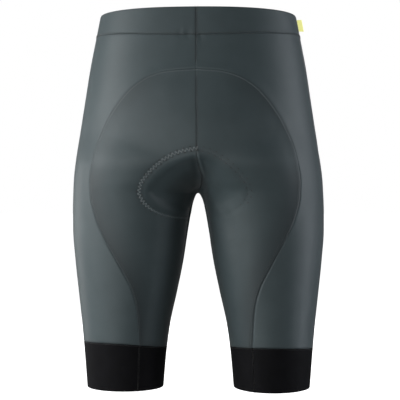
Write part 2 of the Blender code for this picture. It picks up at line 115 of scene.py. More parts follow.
# The floor's level in millimetres, and the room and the camera in metres. Each softbox has its azimuth,
# distance, height, width, length, watts and tint.
FLOOR_LEVEL = -640.0
ROOM_LIGHT = 0.085
LIGHTS_AIM_AT = (0, 0, -0.25)
SOFTBOXES = (
    ("key", -30, 1.4, -0.35, 0.8, 1.2, 8.6, "#FFFFFF"),
    ("left", -71, 1.3, 0.0, 0.55, 1.1, 14.5, "#FFFFFF"),
    ("left_rim", -118, 2.0, -0.45, 0.7, 0.9, 9, "#FFFFFF"),
    ("right_rim", 89, 2.2, -0.05, 1.5, 2.0, 35, "#F4F8FF"),
    ("fill", 20, 2.4, -0.8, 1.4, 1.0, 8, "#FFFFFF"),
    ("front_side", 180, 2.6, 0.6, 1.6, 1.6, 22, "#FFFFFF"),
)
CAMERA_TURN, CAMERA_DISTANCE, CAMERA_HEIGHT = math.radians(3.4), 2.2, -0.248
CAMERA_LENS, CAMERA_SHIFT = 136.6, 0.00425

SECTION_COLUMNS = ("z", "side", "inner", "front", "back", "blend", "square")
SECTIONS = (
    (30, 138.8, -138.8, 104, -96, 60, 2.45),
    (-19, 148.2, -148.2, 105, -101, 60, 2.45),
    (-60, 155.8, -152.0, 105.5, -108, 60, 2.40),
    (-100, 161.7, -139.0, 104.5, -115.5, 62, 2.35),
    (-145, 168.4, -110.0, 101, -120, 60, 2.30),
    (-190, 175.5, -60.0, 96, -116, 38, 2.22),
    (-220, 179.3, -19.0, 92, -106.5, 18, 2.15),
    (-238, 180.4, 2.0, 90, -100, 8, 2.12),
    (-250, 181.0, 7.0, 89.5, -97, 8, 2.10),
    (-265, 181.4, 10.4, 89, -93.5, 8, 2.10),
    (-290, 181.4, 14.8, 87.5, -89, 8, 2.10),
    (-335, 178.3, 21.8, 84.5, -82, 8, 2.10),
    (-380, 173.7, 31.0, 80.5, -75, 8, 2.10),
    (-425, 168.9, 40.9, 76, -68.5, 8, 2.10),
    (-470, 165.0, 47.0, 71.5, -63, 8, 2.10),
    (-530, 160.5, 52.0, 65.5, -57.5, 8, 2.10),
)

# Heights of the waistband's two edges, at the front, the side and the back.
WAIST_TOP = (3.0, 14.5, 20.5)
WAIST_SEAM = (-28.0, -13.5, -18.0)

# Heights of each leg's gripper seam and hem.
CUFF_COLUMNS = ("side", "seam_inner", "seam_outer", "seam_back", "hem_inner", "hem_outer", "hem_back")
CUFFS = (
    (LEFT, -460.0, -452.0, -451.5, -518.5, -518.0, -519.5),
    (RIGHT, -458.5, -460.5, -456.5, -517.5, -518.5, -520.5),
)
CUFF_LEVEL = -457.0
CUFF_FADE = -320.0

# The arched seam between the side panel and the seat panel: height, and distance from the centre line.
ARC_SEAM = (
    (-66.5, 0.0), (-69.0, 34.0), (-76.0, 60.0), (-90.0, 83.0), (-110.0, 102.7),
    (-145.0, 125.5), (-185.0, 140.8), (-225.0, 147.2), (-245.0, 146.3), (-275.0, 139.0),
    (-305.0, 126.0), (-345.0, 104.4), (-375.0, 90.2), (-405.0, 83.2), (-470.0, 79.2),
)

# The seat pad's outline on each side, from the rise seam down to the inseam, behind and in front.
PAD_BACK = (
    (-174.0, 0.0), (-178.5, 20.0), (-187.0, 38.0), (-199.0, 54.0), (-213.0, 68.0), (-226.0, 76.5),
    (-238.0, 79.0), (-250.0, 74.5), (-262.0, 63.0), (-271.0, 45.0), (-275.5, 26.0), (-277.0, 12.6),
)
PAD_FRONT = (
    (-184.0, 0.0), (-188.0, 16.0), (-200.0, 30.0), (-217.0, 39.0), (-236.0, 42.5),
    (-254.0, 40.0), (-267.0, 31.0), (-274.5, 21.0), (-277.0, 12.6),
)

# The centre back seam wanders to the wearer's right, and most of all down in the cleft: height, shift.
DRIFT = (
    (30.0, 2.6), (-55.0, 3.0), (-110.0, 4.1), (-152.0, 4.8), (-182.0, 4.8),
    (-200.0, 6.8), (-215.0, 9.5), (-229.0, 5.0), (-238.0, 0.0),
)
DRIFT_REACH = 30.0

# Soft folds of the worn cloth: the half, where it is seen from, height and distance across at its two
# ends, bend, width and depth. Its middle is bowed over by bend. Above zero it is a ridge, and below
# zero a trough.
CREASES = (
    (RIGHT, "back", -200, 3, -276, 42, -3.6, 4.6, 1.5),
    (RIGHT, "back", -222, 30, -262, 62, -4, 9.0, -0.8),
    (RIGHT, "back", -180, 2, -222, 4, 1, 2.2, 1.4),
    (RIGHT, "back", -246, 22, -300, 50, 6, 8.0, -1.2),
    (LEFT, "back", -186, 4, -232, 6, -1, 4.0, -2.0),
    (LEFT, "back", -212, 6, -262, 34, 5, 9.0, -1.2),
    (LEFT, "back", -250, 40, -292, 58, 4, 8.0, 0.6),
    (LEFT, "back", -7, 9, -25, 12, 1, 2.4, -1.2),
    (LEFT, "back", -9, 19, -24, 22, 1, 2.3, -1.0),
    (RIGHT, "back", -12, 6, -30, 9, -1, 2.8, -0.7),
    (RIGHT, "back", -118, 60, -150, 118, 6, 16.0, -0.7),
    (LEFT, "back", -108, 40, -146, 104, -7, 18.0, -0.6),
    (RIGHT, "front", -214, 6, -262, 52, 6, 7.0, -1.7),
    (LEFT, "front", -208, 5, -258, 46, 5, 7.5, -1.6),
    (RIGHT, "front", -190, 12, -226, 70, -7, 8.0, 1.2),
    (LEFT, "front", -196, 16, -232, 78, -6, 8.5, 1.1),
    (RIGHT, "front", -168, 30, -196, 104, -8, 9.0, -0.9),
    (LEFT, "front", -172, 26, -204, 92, -6, 10.0, -1.0),
    (RIGHT, "side", -152, 34, -186, -22, 6, 13.0, -0.8),
    (LEFT, "side", -160, 40, -188, -14, 5, 12.0, -0.8),
)


def slopes(x, y):
    """Slopes for a smooth curve through the points that never overshoots them."""
    step = np.diff(x)
    rise = np.diff(y) / step
    slope = np.zeros(len(x))
    slope[0], slope[-1] = rise[0], rise[-1]
    same = rise[:-1] * rise[1:] > 0
    weight_a, weight_b = 2 * step[1:] + step[:-1], step[1:] + 2 * step[:-1]
    with np.errstate(divide="ignore", invalid="ignore"):
        mean = (weight_a + weight_b) / (weight_a / rise[:-1] + weight_b / rise[1:])
    slope[1:-1] = np.where(same, mean, 0.0)
    return slope


def smooth_curve(x, y):
    """A function that runs smoothly through the points (x, y), with x in either order."""
    x, y = np.asarray(x, float), np.asarray(y, float)
    if x[0] > x[-1]:
        x, y = x[::-1], y[::-1]
    slope = slopes(x, y)

    def value(at):
        at = np.clip(np.asarray(at, float), x[0], x[-1])
        i = np.clip(np.searchsorted(x, at, side="right") - 1, 0, len(x) - 2)
        width = x[i + 1] - x[i]
        t = (at - x[i]) / width
        start = (2 * t**3 - 3 * t**2 + 1) * y[i] + (t**3 - 2 * t**2 + t) * width * slope[i]
        end = (3 * t**2 - 2 * t**3) * y[i + 1] + (t**3 - t**2) * width * slope[i + 1]
        return start + end

    return value


def smoothstep(low, high, at):
    t = np.clip((at - low) / (high - low), 0, 1)
    return t * t * (3 - 2 * t)


def hump(at, width):
    """One where at is zero, falling away smoothly on both sides."""
    return np.exp(-((at / width) ** 2))


def run_along(path):
    """How far along a path each of its points lies."""
    return np.concatenate([[0], np.cumsum(np.linalg.norm(np.diff(path, axis=0), axis=1))])


def places_along(path, run, at):
    """The places that lie this far along a path."""
    return np.stack([np.interp(at, run, axis) for axis in path.T], 1)


SECTION = {
    name: smooth_curve([row[0] for row in SECTIONS], [row[i] for row in SECTIONS])
    for i, name in enumerate(SECTION_COLUMNS)
}


class Scale:
    """How far each section is stretched so that it just reaches its stated side, front and back."""

    heights = np.array([SECTIONS[-1][0], SECTIONS[0][0]], float)
    side = np.ones(2)
    front = np.ones(2)
    back = np.ones(2)


def ovals(z):
    """The leg oval at a height: centre across, half width, centre along, half depth, blend, exponent."""
    side, inner = SECTION["side"](z), SECTION["inner"](z)
    front, back = SECTION["front"](z), SECTION["back"](z)
    return (
        (side + inner) / 2,
        (side - inner) / 2,
        (front + back) / 2,
        (front - back) / 2,
        SECTION["blend"](z),
        SECTION["square"](z),
    )


def field(x, y, z):
    """Below zero inside the figure and above zero outside it."""
    centre, width, middle, depth, blend, power = ovals(z)
    x = np.abs(x) / np.interp(z, Scale.heights, Scale.side)
    along = y - middle
    front = np.interp(z, Scale.heights, Scale.front)
    back = np.interp(z, Scale.heights, Scale.back)
    along = np.abs(np.where(along > 0, along / front, along / back)) / depth

    def oval(across):
        return width * ((np.abs(across / width) ** power + along**power) ** (1 / power) - 1)

    near, far = oval(x - centre), oval(x + centre)
    overlap = np.clip(blend - np.abs(near - far), 0, None) / blend
    return np.minimum(near, far) - overlap**2 * blend / 4


def surface(points):
    """The figure's unit normals at points, and how far outside it the points lie."""
    points = np.asarray(points, float)
    slope = np.empty_like(points)
    for axis in range(3):
        ahead, behind = points.copy(), points.copy()
        ahead[..., axis] += FIELD_STEP
        behind[..., axis] -= FIELD_STEP
        slope[..., axis] = field(*np.moveaxis(ahead, -1, 0)) - field(*np.moveaxis(behind, -1, 0))
    steep = np.linalg.norm(slope, axis=-1, keepdims=True)
    off = field(*np.moveaxis(points, -1, 0))[..., None] * (2 * FIELD_STEP) / steep
    return slope / steep, off


def settle(points, rounds):
    """Moves points along the figure's slope until they lie on it."""
    for _ in range(rounds):
        normal, off = surface(points)
        points = points - normal * np.clip(off, -12, 12)
    return points


def half_ring(z):
    """The section at height z, from the centre front or inseam round the outside to the back."""
    centre, width, middle, depth, blend, power = ovals(z)
    angles = np.linspace(math.pi, -math.pi, RING_RAYS)
    across, along = np.cos(angles), np.sin(angles)
    near = np.zeros(RING_RAYS)
    with np.errstate(divide="ignore"):
        to_centre_line = np.where(across < -1e-9, -centre / across, np.inf)
    far = np.minimum(2.5 * (width + depth), to_centre_line)
    leaves = field(centre + far * across, middle + far * along, z) > 0
    for _ in range(RING_HALVINGS):
        half = (near + far) / 2
        inside = field(centre + half * across, middle + half * along, z) < 0
        near, far = np.where(inside, half, near), np.where(inside, far, half)
    ring = np.stack([centre + far * across, middle + far * along], 1)[leaves]
    split = 1 + blend / (4 * width)
    bridge = split**power - abs(centre / width) ** power
    if bridge > 0:
        reach = depth * bridge ** (1 / power)
        front = middle + reach * np.interp(z, Scale.heights, Scale.front)
        back = middle - reach * np.interp(z, Scale.heights, Scale.back)
        ring = np.vstack([[0, front], ring, [0, back]])
    elif abs(z - CROTCH) < 1e-6:
        ring = np.vstack([[0, middle], ring, [0, middle]])
    return ring


def eased(values):
    """The values with their corners rounded, as cloth bridges a sharp change of form."""
    share = np.hanning(13)[1:-1]
    return np.convolve(np.pad(values, len(share) // 2, "edge"), share / share.sum(), "valid")


def set_scale():
    """Measures each section once, and stretches it to its stated sizes."""
    heights = np.arange(SECTIONS[-1][0], SECTIONS[0][0] + 1, SCALE_STEP)
    side, front, back = [], [], []
    for z in heights:
        ring = half_ring(z)
        middle = ovals(z)[2]
        side.append(SECTION["side"](z) / ring[:, 0].max())
        front.append((SECTION["front"](z) - middle) / (ring[:, 1].max() - middle))
        back.append((SECTION["back"](z) - middle) / (ring[:, 1].min() - middle))
    Scale.heights, Scale.side = heights, np.array(side)
    Scale.front, Scale.back = eased(front), eased(back)


set_scale()


def measure_rings():
    """Rings at many heights, closer together at the crotch, each divided evenly by length."""
    near = np.array([0, 0.05, 0.15, 0.3, 0.6, 1, 1.6, 2.4, 3.5, 5, 7, 9.5, 12.5])
    below = np.arange(SECTIONS[-1][0], CROTCH - 15, 3.0)
    above = np.arange(CROTCH + 15, SECTIONS[0][0] + 1, 3.0)
    heights = np.concatenate([below, CROTCH - near[::-1], CROTCH + near[1:], above])
    rings, lengths = [], []
    for z in heights:
        ring = half_ring(z)
        run = run_along(ring)
        rings.append(places_along(ring, run, np.linspace(0, run[-1], RING_STEPS + 1)))
        lengths.append(run[-1])
    return heights, np.array(rings), np.array(lengths)


HEIGHTS, RINGS, LENGTHS = measure_rings()


def on_figure(u, z):
    """The points of the right half at u and z, before any relief."""
    u, z = np.broadcast_arrays(np.asarray(u, float), np.asarray(z, float))
    row = np.clip(np.searchsorted(HEIGHTS, z, side="right") - 1, 0, len(HEIGHTS) - 2)
    up = ((z - HEIGHTS[row]) / (HEIGHTS[row + 1] - HEIGHTS[row]))[..., None]
    place = np.clip(u, 0, 1) * RING_STEPS
    column = np.clip(place.astype(int), 0, RING_STEPS - 1)
    on = (place - column)[..., None]

    def along(r):
        return RINGS[r, column] * (1 - on) + RINGS[r, column + 1] * on

    flat = along(row) * (1 - up) + along(row + 1) * up
    return np.concatenate([flat, z[..., None]], -1)


def ring_length(z):
    return np.interp(z, HEIGHTS, LENGTHS)


def even_curve(table, count=400):
    """A smooth curve through a table of heights and distances, at even steps."""
    table = np.array(table, float)
    run = run_along(table)
    even = np.linspace(0, run[-1], count)
    return smooth_curve(run, table[:, 0])(even), smooth_curve(run, table[:, 1])(even)


def u_at(z, x, behind):
    """The u at which the half ring at each height is this far from the centre line."""
    half = np.linspace(1 if behind else 0, 0.5, RING_STEPS + 1)
    found = np.empty(len(z))
    for i, (level, across) in enumerate(zip(z, x)):
        ring_x = on_figure(half, np.full(half.shape, level))[:, 0]
        found[i] = np.interp(across, np.maximum.accumulate(ring_x), half)
    return found


PAD_CURVE = {behind: even_curve(PAD_BACK if behind else PAD_FRONT, 60) for behind in (True, False)}


def inside_pad(points):
    """How far inside the pad's outline each point lies, as seen from behind or from in front."""
    x, y, z = np.moveaxis(np.asarray(points, float), -1, 0)
    away = {}
    for behind, (edge_z, edge_x) in PAD_CURVE.items():
        nearest = np.full(x.shape, np.inf)
        for i in range(len(edge_z) - 1):
            dz, dx = edge_z[i + 1] - edge_z[i], edge_x[i + 1] - edge_x[i]
            t = np.clip(((z - edge_z[i]) * dz + (x - edge_x[i]) * dx) / (dz * dz + dx * dx), 0, 1)
            nearest = np.minimum(nearest, np.hypot(z - edge_z[i] - t * dz, x - edge_x[i] - t * dx))
        width = np.interp(-z, -edge_z, edge_x, left=-1.0, right=-1.0)
        away[behind] = np.where(x < width, nearest, -nearest)
    share = smoothstep(-12, 12, y - ovals(CROTCH)[2])
    return away[True] * (1 - share) + away[False] * share


def pad_relief(side, points):
    """How far the cloth stands out over the pad: proud round its rim, drawn in at its stitching and at
    the pad's middle, least on the wearer's right, and drawn into the cleft along the rise seam."""
    from_crotch = np.linalg.norm(points - [0, ovals(CROTCH)[2], CROTCH], axis=-1)
    inside = inside_pad(points)
    flat = smoothstep(0, 16, points[..., 0]) * (side == RIGHT)
    rim = PAD_RELIEF * smoothstep(*RIM_RISES, inside) * (1 - smoothstep(*RIM_FALLS, inside))
    rim = rim * (1 - 0.9 * flat)
    hollow = HOLLOW_DEPTH * smoothstep(*HOLLOW_STARTS, inside) * (1 - 0.8 * flat)
    pull = PULL_DEPTH * hump(inside - PAD_STITCH_INSET, PULL_WIDTH)
    cleft = CLEFT_DEPTH * hump(points[..., 0], CLEFT_WIDTH) * (points[..., 1] < 0)
    cleft = cleft * smoothstep(*CLEFT_STARTS, points[..., 2])
    behind = smoothstep(6, 36, np.abs(points[..., 1] - ovals(CROTCH)[2]))
    return ((0.5 * rim - hollow - pull) * behind - cleft) * smoothstep(3.0, 30.0, from_crotch)


def creases(side, points):
    """How far the cloth's soft folds stand out at points of one half, given as the right half's."""
    x, y, z = np.moveaxis(points, -1, 0)
    out = np.zeros(x.shape)
    for half, seen_from, z1, a1, z2, a2, bend, width, depth in CREASES:
        if half != side:
            continue
        if seen_from == "side":
            across, shows = y, smoothstep(90, 130, x)
        else:
            across, shows = x, smoothstep(5, 40, -y if seen_from == "back" else y)
        long = math.hypot(z2 - z1, a2 - a1)
        unit = (z2 - z1) / long, (a2 - a1) / long
        t = ((z - z1) * unit[0] + (across - a1) * unit[1]) / long
        off = (z - z1) * unit[1] - (across - a1) * unit[0]
        off = off - 4 * bend * t * (1 - t)
        past = np.clip(np.maximum(-t, t - 1), 0, None) * long
        ends = np.sqrt(np.clip(np.sin(math.pi * np.clip(t, 0, 1)), 0, 1))
        out += depth * ends * shows * np.exp(-((off**2 + past**2) / width**2))
    return out


DRIFT_AT = smooth_curve([row[0] for row in DRIFT], [row[1] for row in DRIFT])


def drifted(points):
    """Points of the cloth, moved aside with the centre back seam."""
    x, y, z = np.moveaxis(points, -1, 0)
    share = hump(x, DRIFT_REACH) * smoothstep(0, 45, -y)
    return np.stack([x + DRIFT_AT(z) * share, y, z], -1)


def lift(side, points, depth=0.0):
    """Places for points of the right half's figure, this deep below the cloth's outer face."""
    points = settle(points, 1)
    normal = surface(points)[0]
    out = np.asarray(pad_relief(side, points) + creases(side, points) - depth)
    points = points + normal * out[..., None]
    points[..., 0] = side * np.maximum(points[..., 0], 0)
    return drifted(points)


def cloth(side, u, z, depth=0.0):
    """Points of one half at u and z, as deep below the cloth's outer face as depth says."""
    return lift(side, on_figure(u, z), depth)


def waist_edge(heights, u):
    """A height that passes through its front, side and back values as u goes from 0 to 1."""
    front, side, back = heights
    mean = (front + back) / 2
    once, twice = np.cos(math.pi * u), np.cos(2 * math.pi * u)
    return (mean + side) / 2 + (front - back) / 2 * once + (mean - side) / 2 * twice


def cuff_edge(side, name, u):
    """The gripper seam's or the hem's height round one leg."""
    row = next(row for row in CUFFS if row[0] == side)
    value = dict(zip(CUFF_COLUMNS, row))
    inner, outer, back = (value[f"{name}_{where}"] for where in ("inner", "outer", "back"))
    mean = (inner + outer) / 2
    behind = np.clip(-np.sin(2 * math.pi * u), 0, 1) ** 2
    return mean + (inner - outer) / 2 * np.cos(2 * math.pi * u) + (back - mean) * behind


def height(side, u, level):
    """The true height of a course of knitting whose level is stated, on the two body panels."""
    at_waist = waist_edge(WAIST_SEAM, u) - WAIST_SEAM[2]
    at_cuff = cuff_edge(side, "seam", u) - CUFF_LEVEL
    waist_share = smoothstep(CROTCH + 60, WAIST_SEAM[2], level)
    cuff_share = smoothstep(CUFF_FADE, CUFF_LEVEL, level)
    return level + at_waist * waist_share + at_cuff * cuff_share


def arc_seam():
    """The side panel's and the seat panel's edges along the arc seam: distance across, height."""
    z, x = even_curve(ARC_SEAM, 500)
    tangent = np.stack([np.gradient(x), np.gradient(z)], 1)
    tangent /= np.linalg.norm(tangent, axis=1, keepdims=True)
    step = np.stack([-tangent[:, 1], tangent[:, 0]], 1) * SEAM_GAP / 2
    middle = np.stack([x, z], 1)
    return middle + step, middle - step


SIDE_EDGE, SEAT_EDGE = arc_seam()
ARC_TOP = ARC_SEAM[0][0]


def edge_u(edge, level):
    """The u at which a panel's arc edge crosses a level."""
    across = np.interp(-level, -edge[:, 1], edge[:, 0])
    return u_at([level], [across], True)[0]


def end_u(level):
    """The u of a panel's first column, half a seam gap clear of the rise seam or the inseam."""
    ring = on_figure(np.linspace(0, 0.2, 400), np.full(400, level))
    clear = np.interp(SEAM_GAP / 2, np.maximum.accumulate(ring[:, 0]), np.linspace(0, 0.2, 400))
    return max(clear, SEAM_GAP / 2 / ring_length(level))


def spread(count, fine):
    """Positions from 0 to 1 whose steps are small at both ends and grow to an even size between."""
    steps = np.minimum(fine * 1.28 ** np.arange(count), 1.0)
    run = np.concatenate([[0], np.cumsum(np.minimum(steps, steps[::-1]))])
    return run / run[-1]


def panel_levels():
    """The levels of the panels' rows: closer together at the seams and at the crotch."""
    top, bottom = WAIST_SEAM[2] - SEAM_GAP / 2, CUFF_LEVEL + SEAM_GAP / 2
    arc = ARC_TOP + SEAM_GAP / 2
    yoke = top + (arc - top) * spread(20, 0.16)
    seat = arc + (CROTCH - arc) * spread(74, 0.09)
    leg = CROTCH + (bottom - CROTCH) * spread(86, 0.09)
    return np.concatenate([yoke, seat[1:], leg[1:]])


LEVELS = panel_levels()


# Seams, as lines on the cloth.


def seam_line(side, u, level, course=True):
    """Points and outward directions along a seam of one half."""
    u, level = np.broadcast_arrays(np.asarray(u, float), np.asarray(level, float))
    z = height(side, u, level) if course else level
    points = cloth(side, u, z)
    out = surface(points * [side, 1, 1])[0] * [side, 1, 1]
    return points, out


def join_lines(*lines):
    return tuple(np.concatenate(parts) for parts in zip(*lines))


def seam_lines():
    """Each seam's points and outward directions. Both halves of a ring are joined into one loop."""
    round_u = np.linspace(0, 1, 260)
    lines = {}
    for name, heights in (("waist", WAIST_SEAM), ("waist_top", WAIST_TOP)):
        z = waist_edge(heights, round_u)
        right, left = (seam_line(side, round_u, z, False) for side in (RIGHT, LEFT))
        lines[name] = join_lines(right, [part[-2:0:-1] for part in left])
    down = np.linspace(WAIST_TOP[2] - 0.5, CROTCH + 1.5, 220)
    lines["centre_back"] = seam_line(RIGHT, 1.0, down, False)
    down = np.linspace(WAIST_SEAM[2] - 0.5, CROTCH + 1.5, 220)
    lines["centre_front"] = seam_line(RIGHT, 0.0, down)
    z, x = even_curve(ARC_SEAM, 420)
    keep = z >= CUFF_LEVEL
    arc_u, arc_z = u_at(z[keep], x[keep], True), z[keep]
    cuff_u = edge_u(SIDE_EDGE, CUFF_LEVEL)
    around, down = np.linspace(0, 1, 261)[:-1], np.linspace(0, 1, 60)
    for label, side in HALVES:
        lines[f"{label}_arc"] = seam_line(side, arc_u, arc_z)
        lines[f"{label}_inseam"] = seam_line(side, 0.0, np.linspace(CROTCH - 2.5, CUFF_LEVEL, 220))
        for name, edge in (("cuff", "seam"), ("hem", "hem")):
            lines[f"{label}_{name}"] = seam_line(side, around, cuff_edge(side, edge, around), False)
        z_cuff = cuff_edge(side, "seam", cuff_u) * (1 - down) + cuff_edge(side, "hem", cuff_u) * down
        lines[f"{label}_cuff_join"] = seam_line(side, np.full(60, cuff_u), z_cuff, False)
    return lines


SEAMS = seam_lines()


def away_from(points, *names):
    """How far each point lies from the nearest of the named seams."""
    on_seams = np.concatenate([SEAMS[name][0] for name in names])
    tree = KDTree(len(on_seams))
    for i, point in enumerate(on_seams):
        tree.insert(point, i)
    tree.balance()
    flat = points.reshape(-1, 3)
    return np.array([tree.find(point)[2] for point in flat]).reshape(points.shape[:-1])


# Meshes.

COLLECTION = bpy.data.collections.new("cycling_shorts_cloth")
bpy.context.scene.collection.children.link(COLLECTION)


def new_object(name, mesh, material):
    obj = bpy.data.objects.new(name, mesh)
    COLLECTION.objects.link(obj)
    mesh.materials.clear()
    mesh.materials.append(material)
    mesh.shade_smooth()
    return obj


def outward(mesh):
    form = bmesh.new()
    form.from_mesh(mesh)
    bmesh.ops.recalc_face_normals(form, faces=form.faces)
    form.to_mesh(mesh)
    form.free()


def quads(*corners):
    """Four-sided faces from four grids of corners."""
    return np.stack([corner.ravel() for corner in corners], 1).tolist()


def laid_object(name, material, points, faces, lay):
    """A cloth piece made of points in millimetres, with lay as its UV map, also in millimetres."""
    mesh = bpy.data.meshes.new(name)
    mesh.from_pydata((points * MM).tolist(), [], faces)
    corners = np.empty(len(mesh.loops), np.int32)
    mesh.loops.foreach_get("vertex_index", corners)
    uv = mesh.uv_layers.new(name="cloth_lay")
    uv.data.foreach_set("uv", lay[corners].ravel().astype(np.float32))
    outward(mesh)
    return new_object(name, mesh, material)


def shell(name, material, outer, inner, lay, closed=False):
    """A cloth wall between an outer and an inner grid of points."""
    rows, columns = outer.shape[:2]
    place = np.arange(rows * columns).reshape(rows, columns)
    under = place + rows * columns
    if closed:
        place_r, under_r = np.roll(place, -1, 1), np.roll(under, -1, 1)
    else:
        place_r, under_r = place[:, 1:], under[:, 1:]
        place, under = place[:, :-1], under[:, :-1]
    faces = quads(place[:-1], place[1:], place_r[1:], place_r[:-1])
    faces += quads(under[:-1], under_r[:-1], under_r[1:], under[1:])
    faces += quads(place[0], place_r[0], under_r[0], under[0])
    faces += quads(place[-1], under[-1], under_r[-1], place_r[-1])
    if not closed:
        faces += quads(place[:-1, 0], under[:-1, 0], under[1:, 0], place[1:, 0])
        faces += quads(place_r[:-1, -1], place_r[1:, -1], under_r[1:, -1], under_r[:-1, -1])
    points = np.concatenate([outer.reshape(-1, 3), inner.reshape(-1, 3)])
    return laid_object(name, material, points, faces, np.tile(lay.reshape(-1, 2), (2, 1)))


def roll_in(points, seams, arc=None, centre=GROOVE_DEPTH):
    """How deep the outer face sinks beside its seams, less the low welt where the arc seam's turnings
    lie. The arc seam is drawn tightest at the centre back."""
    sink = GROOVE_DEPTH * hump(away_from(points, *seams), GROOVE_WIDTH)
    sink = np.maximum(sink, centre * hump(away_from(points, "centre_back"), GROOVE_WIDTH))
    if arc:
        away, z = away_from(points, arc), points[..., 2]
        tight = 0.2 + 0.8 * hump(points[..., 0], 52) + 0.45 * smoothstep(-180, -220, z)
        welt = WELT_HEIGHT - WELT_LESS * smoothstep(*WELT_LESS_BELOW, z)
        sink = np.maximum(sink, ARC_GROOVE_DEPTH * tight * hump(away, ARC_GROOVE_WIDTH))
        sink = sink - welt * hump(away, WELT_WIDTH)
    return sink


def panel(name, material, side, levels, ends, columns, seams, arc):
    """One panel of the body, lofted on the figure row by row, each row between its two ends."""
    start, end = np.array([ends(level) for level in levels]).T[..., None]
    u = start + (end - start) * spread(columns, 0.16)
    z = height(side, u, levels[:, None])
    outer = cloth(side, u, z)
    outer = cloth(side, u, z, roll_in(outer, seams, arc, PANEL_CENTRE_GROOVE))
    inner = cloth(side, u, z, PANEL_WALL)
    lay = np.stack([side * (u - 0.5) * ring_length(z), z], -1)
    return shell(name, material, outer, inner, lay)


def side_panel(label, side):
    """Front, side and back yoke in one: from the centre front round the hip to the arc seam."""

    def ends(level):
        start = end_u(level)
        return start, 1 - start if level >= ARC_TOP else edge_u(SIDE_EDGE, level)

    seams = ("waist", "centre_front", f"{label}_inseam", f"{label}_cuff")
    return panel(
        f"{label}_side_cloth", SIDE_KNIT, side, LEVELS, ends, SIDE_COLUMNS, seams, f"{label}_arc"
    )


def seat_panel(label, side):
    """Seat and inner back leg: from the arc seam to the rise seam and, lower down, the inseam."""

    def ends(level):
        return edge_u(SEAT_EDGE, level), 1 - end_u(level)

    arc, seams = f"{label}_arc", (f"{label}_inseam", f"{label}_cuff")
    levels = LEVELS[LEVELS < ARC_TOP]
    obj = panel(f"{label}_seat_cloth", SEAT_KNIT, side, levels, ends, SEAT_COLUMNS, seams, arc)
    points = np.array([vertex.co for vertex in obj.data.vertices]) / MM
    # Painted shade: a mask that darkens the seat knit beside the arc seam, most low on the seat and thigh and
    # less high on the seat, fading away from the seam and near the centre line.
    painted_shade = smoothstep(-188, -225, points[:, 2]) + 0.6 * smoothstep(-150, -105, points[:, 2])
    painted_shade = painted_shade * (1 - smoothstep(2, 42, away_from(points, arc)))
    painted_shade = painted_shade * smoothstep(25, 85, np.abs(points[:, 0]))
    values = obj.data.attributes.new("painted_seam_shade", "FLOAT", "POINT").data
    values.foreach_set("value", painted_shade.astype(np.float32))
    return obj


def waistband():
    """One elastic strip round the waist, its ends meeting at the centre back."""
    end = 1 - end_u(WAIST_SEAM[2])
    near_the_end = 0.97 + 0.03 * (1 - 0.55 ** np.arange(1, 9))
    half = end * np.concatenate([np.linspace(0, 0.97, 128), near_the_end])
    half[-1] = end
    rows = spread(BAND_ROWS, 0.14)[:, None]
    top, bottom = waist_edge(WAIST_TOP, half), waist_edge(WAIST_SEAM, half) + SEAM_GAP / 2
    z = top * (1 - rows) + bottom * rows
    u = np.broadcast_to(half, z.shape)

    def both(right, left):
        return np.concatenate([right[:, :0:-1], left], 1)

    def walls(side):
        points = cloth(side, u, z)
        sink = roll_in(points, ("waist",)) + 0.5 * hump(away_from(points, "waist_top"), 0.9)
        return cloth(side, u, z, sink), cloth(side, u, z, BAND_WALL)

    outer, inner = (both(*faces) for faces in zip(walls(RIGHT), walls(LEFT)))
    around = (u - 0.5) * ring_length(z)
    lay = np.stack([both(around, -around), both(z, z)], -1)
    return shell("waistband_cloth", WAIST_ELASTIC, outer, inner, lay)


def leg_gripper(label, side):
    """The elastic cuff, closed by a seam in line with the arc seam."""
    start, end = edge_u(SEAT_EDGE, CUFF_LEVEL), edge_u(SIDE_EDGE, CUFF_LEVEL)
    from_seam = start + (1 - start + end) * spread(GRIPPER_COLUMNS, 0.2)
    u = np.where(from_seam > 1, from_seam - 1, from_seam)
    rows = spread(GRIPPER_ROWS, 0.14)[:, None]
    z = (cuff_edge(side, "seam", u) - SEAM_GAP / 2) * (1 - rows) + cuff_edge(side, "hem", u) * rows
    u = np.broadcast_to(u, z.shape)
    points = cloth(side, u, z)
    sink = roll_in(points, (f"{label}_cuff", f"{label}_cuff_join"))
    sink = sink + 0.45 * hump(away_from(points, f"{label}_hem"), 0.8)
    outer, inner = cloth(side, u, z, sink), cloth(side, u, z, GRIPPER_WALL)
    lay = np.stack([side * from_seam * ring_length(z), z], -1)
    return shell(f"{label}_gripper_cloth", GRIPPER_ELASTIC, outer, inner, lay)


def turnings(name, material, seams):
    """Flat turnings sewn down inside the cloth along some seams. They close each seam from within."""
    form = bmesh.new()
    for seam in seams:
        loop = seam.endswith(SEAMS_IN_LOOPS)
        line = SEAMS[seam]
        asides = TURNING_WIDTH * np.array([-0.5, -0.48, 0, 0.48, 0.5])
        outer, inner = (
            np.stack([shifted(line, aside, -deep, loop)[0] for aside in asides])
            for deep in (TURNING_DEPTH, TURNING_DEPTH + TURNING_THICKNESS)
        )
        lay = np.stack(np.broadcast_arrays(run_along(line[0]), asides[:, None]), -1)
        piece = shell(name, material, outer, inner, lay, loop)
        form.from_mesh(piece.data)
        bpy.data.objects.remove(piece)
    mesh = bpy.data.meshes.new(name)
    form.to_mesh(mesh)
    form.free()
    return new_object(name, mesh, material)


def pad_rim(behind, spokes):
    """Points of the right half's figure, evenly spaced along the pad's outline, rise seam first."""
    z, x = even_curve(PAD_BACK if behind else PAD_FRONT)
    points = on_figure(u_at(z, x, behind), z)
    run = run_along(points)
    return places_along(points, run, np.linspace(0, run[-1], spokes + 1))


